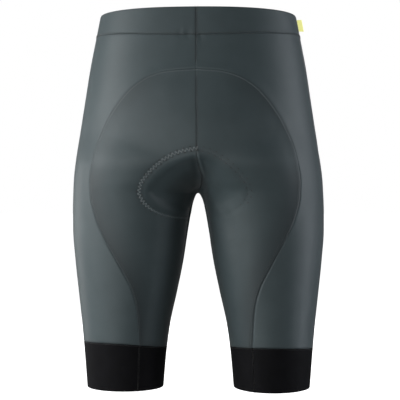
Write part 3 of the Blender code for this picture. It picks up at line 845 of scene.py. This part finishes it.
def pad_spokes(behind, spokes):
    """Each spoke's points over the figure from the crotch to the rim, and how far in they lie."""
    crotch = np.array([0, ovals(CROTCH)[2], CROTCH])
    share = np.linspace(0, 1, 160)[:, None] ** 2
    paths, insides = [], []
    for rim in pad_rim(behind, spokes):
        path = settle(crotch * (1 - share) + rim * share, 12)
        run = run_along(path)
        rings = run[-1] * np.linspace(0, 1, PAD_RINGS + 1)[1:] ** 1.15
        paths.append(places_along(path, run, rings))
        insides.append(run[-1] - rings)
    return np.array(paths), np.array(insides)


def pad_depths(inside, points):
    """How deep the pad's two faces lie, this far inside its outline. The wearer's face is grooved."""
    share = smoothstep(0, PAD_BEVEL, inside)
    clear = PAD_EDGE_CLEARANCE + (PAD_CLEARANCE - PAD_EDGE_CLEARANCE) * share
    thick = PAD_EDGE_THICKNESS + (PAD_THICKNESS - PAD_EDGE_THICKNESS) * share
    x, y, z = np.abs(points[..., 0]), points[..., 1], points[..., 2]
    middle_groove = 1.8 * hump(x, 3.2) * smoothstep(-250, -240, z)
    side_groove = 1.5 * hump(x - 34 - 0.35 * (z - CROTCH), 3.0) * smoothstep(-20, 0, -y)
    grooves = middle_groove + side_groove + 1.2 * hump(inside - 17, 2.6)
    return SOLID_WALL + clear, SOLID_WALL + clear + thick - grooves * share


def seat_pad():
    """The moulded foam pad inside the crotch, thin at its edge."""
    near, far, lays = [], [], []
    for side, behind in ((RIGHT, True), (RIGHT, False), (LEFT, False), (LEFT, True)):
        paths, insides = pad_spokes(behind, PAD_BACK_SPOKES if behind else PAD_FRONT_SPOKES)
        if (side == RIGHT) != behind:
            paths, insides = paths[::-1], insides[::-1]
        paths, insides = paths[:-1], insides[:-1]
        for face, deep in zip((near, far), pad_depths(insides, paths)):
            face.append(lift(side, paths, deep))
        lays.append(np.stack([side * paths[..., 0], paths[..., 1] - paths[..., 2]], -1))
    near, far, lay = (np.swapaxes(np.concatenate(part), 0, 1) for part in (near, far, lays))
    place = np.arange(lay[..., 0].size).reshape(lay.shape[:2])
    faces = []
    for grid, centre in ((place, 2 * place.size), (place + place.size, 2 * place.size + 1)):
        on = np.roll(grid, -1, 1)
        faces += quads(grid[:-1], grid[1:], on[1:], on[:-1])
        faces += [[centre, int(a), int(b)] for a, b in zip(grid[0], on[0])]
    rim, under = place[-1], place[-1] + place.size
    faces += quads(rim, under, np.roll(under, -1), np.roll(rim, -1))
    middles = [near[0].mean(0), far[0].mean(0)]
    points = np.concatenate([near.reshape(-1, 3), far.reshape(-1, 3), middles])
    lay = np.concatenate([np.tile(lay.reshape(-1, 2), (2, 1)), np.zeros((2, 2))])
    return laid_object("seat_pad_foam", PAD_FLEECE, points, faces, lay)


def side_tab():
    """A folded ribbon that stands out from the waistband over the right hip."""
    levels = np.linspace(TAB_TOP, TAB_TOP - TAB_HEIGHT, TAB_ROWS)
    base = on_figure(TAB_PLACE, levels)
    normal = surface(base)[0]
    normal[:, 2] = 0
    normal /= np.linalg.norm(normal, axis=1, keepdims=True)
    across = np.stack([-normal[:, 1], normal[:, 0], np.zeros(TAB_ROWS)], 1)
    fold = TAB_RIBBON * 0.75
    reach = TAB_REACH - fold
    turn = np.radians(np.linspace(-90, 90, 15))
    run = np.linspace(TAB_STANDOFF, reach, 14)
    pinch = fold * (0.72 + 0.28 * smoothstep(TAB_STANDOFF, reach, run))
    path = [(out, -thick) for out, thick in zip(run, pinch)]
    path += [(reach + fold * math.cos(a), fold * math.sin(a)) for a in turn[1:-1]]
    path += [(out, thick) for out, thick in zip(run[::-1], pinch[::-1])]
    path = np.array(path)
    tangent = np.gradient(path, axis=0)
    tangent /= np.linalg.norm(tangent, axis=1, keepdims=True)
    aside = np.stack([tangent[:, 1], -tangent[:, 0]], 1) * TAB_RIBBON / 2
    drop = 0.25 * np.sin(np.linspace(0, math.pi, len(path)))

    def face(flat):
        points = base[:, None] + normal[:, None] * flat[:, :1] + across[:, None] * flat[:, 1:]
        points[..., 2] -= drop * np.linspace(-1, 1, TAB_ROWS)[:, None]
        return points

    lay = np.stack(np.broadcast_arrays(run_along(path), levels[:, None]), -1)
    return shell("side_tab_ribbon", TAB_RIBBON_WEAVE, face(path + aside), face(path - aside), lay)


# Sewing.

STITCH_ANGLES = ("Lean", "Swing", "Unevenness")


def stitch_tree():
    """A row of thread stitches along each line of a mesh. The lines carry their outward directions."""
    tree = bpy.data.node_groups.new("stitch_row", "GeometryNodeTree")
    tree.is_modifier = True
    sockets = {}
    for name, kind, value in (
        ("Line", "NodeSocketGeometry", None),
        ("Pitch", "NodeSocketFloat", 0.0025),
        ("Stitch length", "NodeSocketFloat", 0.002),
        ("Thread radius", "NodeSocketFloat", 0.0002),
        ("Arch", "NodeSocketFloat", 0.0003),
        ("Lean", "NodeSocketFloat", 0.0),
        ("Swing", "NodeSocketFloat", 0.0),
        ("Unevenness", "NodeSocketFloat", 0.05),
        ("Thread", "NodeSocketMaterial", None),
    ):
        socket = tree.interface.new_socket(name, in_out="INPUT", socket_type=kind)
        if value is not None:
            socket.default_value = value
        sockets[name] = socket.identifier
    tree.interface.new_socket("Stitches", in_out="OUTPUT", socket_type="NodeSocketGeometry")
    size = add(tree, "NodeGroupInput").outputs
    curve = add(tree, "GeometryNodeMeshToCurve", {"Mesh": size["Line"]})
    row = add(tree, "GeometryNodeResampleCurve", {"Curve": curve, "Length": size["Pitch"]}, mode="LENGTH")
    out = add(tree, "GeometryNodeInputNamedAttribute", {"Name": "out"}, data_type="FLOAT_VECTOR")
    along = add(tree, "GeometryNodeInputTangent")
    axes = {"primary_axis": "Z", "secondary_axis": "X"}
    aim = add(tree, "FunctionNodeAxesToRotation", {"Primary Axis": out, "Secondary Axis": along}, **axes)
    odd = add(tree, "ShaderNodeMath", {0: add(tree, "GeometryNodeInputIndex"), 1: 2.0}, operation="MODULO")
    waver = add(tree, "FunctionNodeRandomValue", {"Min": -1.0, "Max": 1.0, "Seed": 7}, data_type="FLOAT")
    sign = add(tree, "ShaderNodeMath", {0: odd, 1: 2.0, 2: -1.0}, operation="MULTIPLY_ADD")
    links = {0: sign, 1: size["Swing"], 2: size["Lean"]}
    swing = add(tree, "ShaderNodeMath", links, operation="MULTIPLY_ADD")
    links = {0: waver.outputs[1], 1: size["Unevenness"], 2: swing}
    angle = add(tree, "ShaderNodeMath", links, operation="MULTIPLY_ADD")
    turn = add(tree, "FunctionNodeAxisAngleToRotation", {"Axis": (0, 0, 1), "Angle": angle})
    links = {"Rotation": aim, "Rotate By": turn}
    aimed = add(tree, "FunctionNodeRotateRotation", links, rotation_space="LOCAL")
    back, front, sink = (
        add(tree, "ShaderNodeMath", {0: size[name], 1: share}, operation="MULTIPLY")
        for name, share in (("Stitch length", -0.5), ("Stitch length", 0.5), ("Thread radius", -1.2))
    )
    start, peak, end = (
        add(tree, "ShaderNodeCombineXYZ", place)
        for place in ({"X": back, "Z": sink}, {"Z": size["Arch"]}, {"X": front, "Z": sink})
    )
    links = {"Resolution": 4, "Start": start, "Middle": peak, "End": end}
    thread = add(tree, "GeometryNodeCurveQuadraticBezier", links)
    links = {"Resolution": 5, "Radius": size["Thread radius"]}
    ring = add(tree, "GeometryNodeCurvePrimitiveCircle", links)
    links = {"Curve": thread, "Profile Curve": ring, "Fill Caps": True}
    stitch = add(tree, "GeometryNodeCurveToMesh", links)
    links = {"Points": row, "Instance": stitch, "Rotation": aimed}
    placed = add(tree, "GeometryNodeInstanceOnPoints", links)
    real = add(tree, "GeometryNodeRealizeInstances", {"Geometry": placed})
    dressed = add(tree, "GeometryNodeSetMaterial", {"Geometry": real, "Material": size["Thread"]})
    add(tree, "NodeGroupOutput", {"Stitches": dressed})
    return tree, sockets


def shifted(line, aside, out=0.0, loop=False):
    """A seam line moved sideways over the cloth, and outwards."""
    points, normal = line
    if loop:
        along = np.roll(points, -1, 0) - np.roll(points, 1, 0)
    else:
        along = np.gradient(points, axis=0)
    along /= np.linalg.norm(along, axis=1, keepdims=True)
    over = np.cross(normal, along)
    return points + over * aside + normal * out, normal


def sew(name, thread, rows):
    """Sews rows of stitches and joins them into one piece. Each row is its lines and its stitch's sizes."""
    form = bmesh.new()
    for lines, loop, sizes in rows:
        points, out = join_lines(*lines)
        edges, first = [], 0
        for count in (len(line[0]) for line in lines):
            edges += [(first + i, first + i + 1) for i in range(count - 1)]
            edges += [(first + count - 1, first)] * loop
            first += count
        mesh = bpy.data.meshes.new(name)
        mesh.from_pydata((points * MM).tolist(), edges, [])
        normal = mesh.attributes.new("out", "FLOAT_VECTOR", "POINT")
        normal.data.foreach_set("vector", out.ravel().astype(np.float32))
        obj = bpy.data.objects.new(name, mesh)
        COLLECTION.objects.link(obj)
        row = obj.modifiers.new("row", "NODES")
        row.node_group = STITCHES
        for size, value in sizes.items():
            row[STITCH_SOCKETS[size]] = value * (1 if size in STITCH_ANGLES else MM)
        row[STITCH_SOCKETS["Thread"]] = thread
        made = bpy.data.meshes.new_from_object(obj.evaluated_get(bpy.context.evaluated_depsgraph_get()))
        form.from_mesh(made)
        bpy.data.objects.remove(obj)
    mesh = bpy.data.meshes.new(name)
    form.to_mesh(mesh)
    form.free()
    outward(mesh)
    return new_object(name, mesh, thread)


# Materials.


def join(tree, node, links):
    """Joins a node's inputs to other nodes, or sets them to values."""
    for name, value in links.items():
        socket = node.inputs[name]
        if isinstance(value, bpy.types.Node):
            value = next(output for output in value.outputs if output.enabled)
        if isinstance(value, bpy.types.NodeSocket):
            tree.links.new(value, socket)
        else:
            socket.default_value = value


def add(tree, kind, links=None, **settings):
    """Adds a node, with its settings, and its inputs joined to other nodes or set to values."""
    node = tree.nodes.new(kind)
    for name, value in settings.items():
        setattr(node, name, value)
    join(tree, node, links or {})
    return node


def colour(code):
    """A linear colour from an sRGB hex value."""
    parts = [int(code[i : i + 2], 16) / 255 for i in (1, 3, 5)]
    return (*(p / 12.92 if p <= 0.04045 else ((p + 0.055) / 1.055) ** 2.4 for p in parts), 1.0)


def finish(name, **settings):
    """A new material with its shader's own sockets set."""
    material = bpy.data.materials.new(name)
    material.use_nodes = True
    tree = material.node_tree
    shader = tree.nodes["Principled BSDF"]
    for label, value in settings.items():
        shader.inputs[label.replace("_", " ")].default_value = value
    return material, tree, shader


def dress(tree, shader, share, first, second, height=None, strength=0.0, depth=0.0):
    """Gives the shader a mix of two tones, each a hex value or a node, and a height as its relief."""
    tones = {"Factor": share}
    for socket, tone in (("A", first), ("B", second)):
        tones[socket] = colour(tone) if isinstance(tone, str) else tone
    join(tree, shader, {"Base Color": add(tree, "ShaderNodeMix", tones, data_type="RGBA")})
    if height is not None:
        relief = {"Strength": strength, "Distance": depth, "Height": height}
        join(tree, shader, {"Normal": add(tree, "ShaderNodeBump", relief)})


def patches(tree, *sizes):
    """Soft patches over the form, from noise of each scale and detail."""
    place = add(tree, "ShaderNodeTexCoord").outputs["Object"]
    links = [{"Vector": place, "Scale": scale, "Detail": detail} for scale, detail in sizes]
    return [add(tree, "ShaderNodeTexNoise", link).outputs["Fac"] for link in links]


def ribs(tree, spacing, *waves):
    """Ribs of the cloth, spacing millimetres apart across and up it, for each way, waver and detail."""
    lay = add(tree, "ShaderNodeUVMap", uv_map="cloth_lay")
    scaled = add(tree, "ShaderNodeMapping", {"Vector": lay, "Scale": (1 / spacing[0], 1 / spacing[1], 1)})
    made = []
    for way, waver, detail in waves:
        links = {"Vector": scaled, "Scale": WAVE_SCALE, "Distortion": waver, "Detail": detail}
        made.append(add(tree, "ShaderNodeTexWave", links, bands_direction=way).outputs["Fac"])
    return made


def warp_knit(name, base, deep, roughness=0.5, sheen=0.12, strength=0.16, closed="#303A3D"):
    """Polyamide and elastane warp knit: a smooth face with a satin band of light along each limb, and
    fine upright wales. Real wales are 0.35 mm apart. They are drawn 1.1 mm apart, so that they just show.
    The closed tone is painted shade, laid on the seat beside the arc seam by the seat panel's shade mask."""
    material, tree, shader = finish(
        name, Roughness=roughness, Sheen_Weight=sheen, Sheen_Roughness=0.4, IOR=1.5, Specular_IOR_Level=0.42
    )
    wales, courses = ribs(tree, (1.1, 1.5), ("X", 0.6, 1.0), ("Y", 0.4, 1.0))
    knit = add(tree, "ShaderNodeMath", {0: courses, 1: 0.35, 2: wales}, operation="MULTIPLY_ADD")
    cloud, fibre = patches(tree, (38.0, 3.0), (900.0, 2.0))
    mottle = add(tree, "ShaderNodeMath", {0: fibre, 1: 0.5, 2: cloud}, operation="MULTIPLY_ADD")
    share = add(tree, "ShaderNodeMapRange", {"Value": mottle, "From Min": 0.35, "From Max": 1.15})
    painted_shade = add(tree, "ShaderNodeAttribute", attribute_name="painted_seam_shade").outputs["Fac"]
    tones = {"Factor": share, "A": colour(deep), "B": colour(base)}
    knitted = add(tree, "ShaderNodeMix", tones, data_type="RGBA")
    dress(tree, shader, painted_shade, knitted, closed, knit, strength, 0.0002)
    return material


def elastic_web():
    """Polyester and rubber elastic for a leg gripper: matt black, with fine raised cords that run round
    the leg. Real cords are 0.8 mm apart. They are drawn 1.6 mm apart, so that they show."""
    material, tree, shader = finish(
        "elastic_web_black", Roughness=0.66, Sheen_Weight=0.0, IOR=1.5, Specular_IOR_Level=0.06
    )
    cords, picks = ribs(tree, (1.2, 1.6), ("Y", 0.3, 1.0), ("X", 0.5, 1.0))
    web = add(tree, "ShaderNodeMath", {0: picks, 1: 0.4, 2: cords}, operation="MULTIPLY_ADD")
    (cloud,) = patches(tree, (60.0, 3.0))
    dress(tree, shader, cloud, "#0F0F10", "#17171A", web, 0.22, 0.0003)
    return material


def woven_ribbon():
    """Polyester grosgrain ribbon in a fluorescent yellow dye, with a painted glow: it gives off a little
    light of its own, though it is no lamp, and shows a clean bright face with fine cross ribs.
    Real ribs are 0.5 mm apart. They are drawn 0.9 mm apart, so that they show."""
    material, tree, shader = finish(
        "woven_ribbon_yellow", Roughness=0.55, Sheen_Weight=0.1, IOR=1.5,
        Emission_Color=colour("#FCFAA2"), Emission_Strength=0.66,
    )
    (cross,) = ribs(tree, (0.9, 0.9), ("Y", 0.2, 2.0))
    dress(tree, shader, cross, "#ECEB7A", "#F6F6A0", cross, 0.3, 0.0002)
    return material


def brushed_fleece():
    """Brushed microfibre laminated to moulded foam: soft and dull, with a short nap that lifts its edges."""
    material, tree, shader = finish(
        "brushed_fleece_black", Roughness=0.92, Sheen_Weight=0.45, Sheen_Roughness=0.6,
        Specular_IOR_Level=0.25,
    )
    nap, cloud = patches(tree, (1400.0, 3.0), (70.0, 3.0))
    dress(tree, shader, cloud, "#1D1F21", "#2B2E31", nap, 0.35, 0.0004)
    return material


def sewing_thread(name, dark, light):
    """Textured polyester thread: a soft shine along each stitch, and a little change of tone between them."""
    material, tree, shader = finish(name, Roughness=0.45, Sheen_Weight=0.2, IOR=1.5)
    (tone,) = patches(tree, (260.0, 2.0))
    dress(tree, shader, tone, dark, light)
    return material


SIDE_KNIT = warp_knit("warp_knit_slate", "#434F52", "#3B474A", 0.5, 0.2)
# The seat knit is a shade darker than the side knit: painted shade over the seat.
SEAT_KNIT = warp_knit("warp_knit_slate_seat", "#404C4F", "#384447", 0.52, 0.18)
WAIST_ELASTIC = warp_knit("warp_knit_waistband", "#414D50", "#394548", 0.54, 0.2, 0.2)
GRIPPER_ELASTIC = elastic_web()
TAB_RIBBON_WEAVE = woven_ribbon()
PAD_FLEECE = brushed_fleece()
DARK_THREAD = sewing_thread("polyester_thread_dark", "#1E2427", "#2E3538")
PALE_THREAD = sewing_thread("polyester_thread_pale", "#737C7E", "#8B9496")
BLACK_THREAD = sewing_thread("polyester_thread_black", "#0C0D0E", "#1A1B1C")
# The shaded thread is a darker copy of the pale one, as painted shade on the pad's stitches.
SHADED_THREAD = sewing_thread("polyester_thread_shaded", "#363E41", "#4A5356")

STITCHES, STITCH_SOCKETS = stitch_tree()


# The garment.


def wear(obj, slot, node=None):
    """The piece moves with the part's one body and stands for its solid; its slot is not used."""
    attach(obj, "root")
    if node:
        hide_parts(node)
    return obj


def needle_rows(lines, loop, *asides, pitch=2.5, length=1.9, radius=0.2, out=0.12, arch=0.35):
    rows = [shifted(line, aside, out, loop) for line in lines for aside in asides]
    sizes = {
        "Pitch": pitch, "Stitch length": length, "Thread radius": radius, "Arch": arch, "Unevenness": 0.06,
    }
    return rows, loop, sizes


def cross_threads(lines, loop, width=3.4, pitch=1.5, radius=0.16, out=0.0, swing=0.45, arch=0.25):
    rows = [shifted(line, 0.0, out, loop) for line in lines]
    sizes = {
        "Pitch": pitch, "Stitch length": width, "Thread radius": radius, "Arch": arch,
        "Lean": math.pi / 2, "Swing": swing, "Unevenness": 0.08,
    }
    return rows, loop, sizes


def pad_stitch_line(side, behind):
    """Just inside the pad's outline on one half, from the rise seam down to the inseam. The stitches sink
    into the foam between the thighs, and a little in front and everywhere on the wearer's right."""
    z, x = even_curve(PAD_BACK if behind else PAD_FRONT, 260)
    inward = PAD_STITCH_INSET * (-1 if (side == RIGHT) == behind else 1)
    points, out = shifted(seam_line(side, u_at(z, x, behind), z, False), inward)
    rise = (0.5 if behind and side == LEFT else -0.3) - 0.8 * smoothstep(-250, -268, z)
    return points + out * rise[:, None], out


cloths = {"waistband": wear(waistband(), "waist_elastic", "waistband")}
for label, half in HALVES:
    cloths[f"{label}_side"] = wear(side_panel(label, half), "side_knit", f"{label}_side_panel")
    cloths[f"{label}_seat"] = wear(seat_panel(label, half), "seat_knit", f"{label}_seat_panel")
    cloths[f"{label}_gripper"] = wear(leg_gripper(label, half), "gripper_elastic", f"{label}_leg_gripper")
pad = wear(seat_pad(), "pad_foam", "seat_pad")
tab = wear(side_tab(), "tab_ribbon", "side_tab")
wear(turnings("body_seam_turnings", SEAT_KNIT, ("waist", "centre_back", "centre_front")), "seat_knit")
for label, half in HALVES:
    seams = (f"{label}_arc", f"{label}_inseam")
    wear(turnings(f"{label}_leg_seam_turnings", SEAT_KNIT, seams), "seat_knit")
    seams = (f"{label}_cuff", f"{label}_cuff_join")
    wear(turnings(f"{label}_gripper_turnings", GRIPPER_ELASTIC, seams), "gripper_elastic")

# Each piece of sewing: its slot, its thread and its rows.
rise = [SEAMS["centre_back"], SEAMS["centre_front"]]
sewing = {
    "waist_stitches": ("waist_elastic", BLACK_THREAD, [
        needle_rows([SEAMS["waist"]], True, 1.2, -1.2, pitch=3.6, length=1.6, radius=0.36, out=0.3),
    ]),
    "rise_stitches": ("seat_knit", DARK_THREAD, [
        cross_threads(rise, False), needle_rows(rise, False, 1.5, -1.5),
    ]),
}
ARC_ROW = {"pitch": 3.1, "length": 1.6}
for label, half in HALVES:
    arc, out = SEAMS[f"{label}_arc"]
    upper = arc[:, 2] > ARC_THREADS_CHANGE
    over_the_seat, down_the_leg = (arc[upper], out[upper]), (arc[~upper], out[~upper])
    whole = [over_the_seat, down_the_leg]
    sewing[f"{label}_arc_stitches"] = ("seat_knit", PALE_THREAD, [
        needle_rows([over_the_seat], False, -2.3 * half, radius=0.3, out=0.98, **ARC_ROW),
    ])
    sewing[f"{label}_leg_stitches"] = ("seat_knit", DARK_THREAD, [
        needle_rows([down_the_leg], False, -2.3 * half, radius=0.24, out=0.66, **ARC_ROW),
        needle_rows(whole, False, -4.9 * half, radius=0.24, out=0.36, **ARC_ROW),
        cross_threads([SEAMS[f"{label}_inseam"]], False),
    ])
    sewing[f"{label}_cuff_stitches"] = ("gripper_elastic", BLACK_THREAD, [
        needle_rows([SEAMS[f"{label}_cuff_join"]], False, 0.8, -0.8, pitch=2.2, length=1.8),
        needle_rows([SEAMS[f"{label}_cuff"]], True, 1.4, -1.4),
    ])
    behind, before = (pad_stitch_line(half, where) for where in (True, False))
    # Painted light and shade on one thread: the pad's stitches behind are pale on the wearer's left and
    # darker on the right, and the front ones are darker on both halves.
    thread = PALE_THREAD if half == LEFT else SHADED_THREAD
    for name, thread, line in (("pad", thread, behind), ("pad_front", SHADED_THREAD, before)):
        rows = [cross_threads([line], False, width=5.4, pitch=2.6, radius=0.42, out=0.1, swing=0.5)]
        sewing[f"{label}_{name}_stitches"] = ("pad_foam", thread, rows)
    sewing[f"{label}_pad_holding_stitches"] = ("pad_foam", BLACK_THREAD, [
        needle_rows([behind, before], False, 3.2, -3.2, pitch=9.2, length=2.0, radius=0.6, out=0.5),
    ])
threads = {name: wear(sew(name, thread, rows), slot) for name, (slot, thread, rows) in sewing.items()}


# The floor, the light and the camera.


def studio_floor():
    """A wide pale floor, lit to white as in a studio, and flagged off from the cloth."""
    mesh = bpy.data.meshes.new("floor")
    form = bmesh.new()
    bmesh.ops.create_circle(form, cap_ends=True, segments=96, radius=40.0)
    bmesh.ops.translate(form, verts=form.verts, vec=(0, 0, FLOOR_LEVEL * MM))
    form.to_mesh(mesh)
    form.free()
    material, tree, shader = finish(
        "painted_floor_white", Roughness=0.9, Base_Color=colour("#F4F4F4"), Emission_Color=colour("#FFFFFF"),
        Emission_Strength=1.0, Specular_IOR_Level=0.2,
    )
    floor = new_object("floor", mesh, material)
    floor.visible_diffuse = floor.visible_glossy = False


def studio_world():
    """A white room: white to the eye, and gentler as a light."""
    world = bpy.data.worlds.new("white_room")
    bpy.context.scene.world = world
    world.use_nodes = True
    tree = world.node_tree
    tree.nodes.clear()
    path = add(tree, "ShaderNodeLightPath")
    seen = add(tree, "ShaderNodeBackground", {"Color": (1, 1, 1, 1), "Strength": 1.0})
    felt = add(tree, "ShaderNodeBackground", {"Color": (1, 1, 1, 1), "Strength": ROOM_LIGHT})
    both = add(tree, "ShaderNodeMixShader", {0: path.outputs["Is Camera Ray"], 1: felt, 2: seen})
    add(tree, "ShaderNodeOutputWorld", {"Surface": both})


def softbox(name, azimuth, distance, level, width, tall, watts, tint):
    """A soft light that faces the garment, azimuth degrees round from the camera's side towards +X."""
    light = bpy.data.lights.new(name, "AREA")
    light.shape = "RECTANGLE"
    light.size, light.size_y = width, tall
    light.energy = watts
    light.color = colour(tint)[:3]
    obj = bpy.data.objects.new(name, light)
    COLLECTION.objects.link(obj)
    obj.visible_camera = False
    turn = math.radians(azimuth)
    place = Vector((distance * math.sin(turn), -distance * math.cos(turn), level))
    aim = Vector(LIGHTS_AIM_AT) - place
    obj.location = place
    obj.rotation_euler = aim.to_track_quat("-Z", "Y").to_euler()


studio_floor()
studio_world()
for name, *setting in SOFTBOXES:
    softbox(f"{name}_softbox", *setting)

camera = bpy.data.objects.new("camera", bpy.data.cameras.new("camera"))
COLLECTION.objects.link(camera)
camera.data.lens = CAMERA_LENS
camera.data.sensor_width = 36
camera.data.shift_x = CAMERA_SHIFT
camera.data.clip_end = 200
camera.location = (
    CAMERA_DISTANCE * math.sin(CAMERA_TURN), -CAMERA_DISTANCE * math.cos(CAMERA_TURN), CAMERA_HEIGHT,
)
camera.rotation_euler = (math.pi / 2, 0, CAMERA_TURN)
bpy.context.scene.camera = camera
bpy.context.scene.view_settings.view_transform = "Standard"
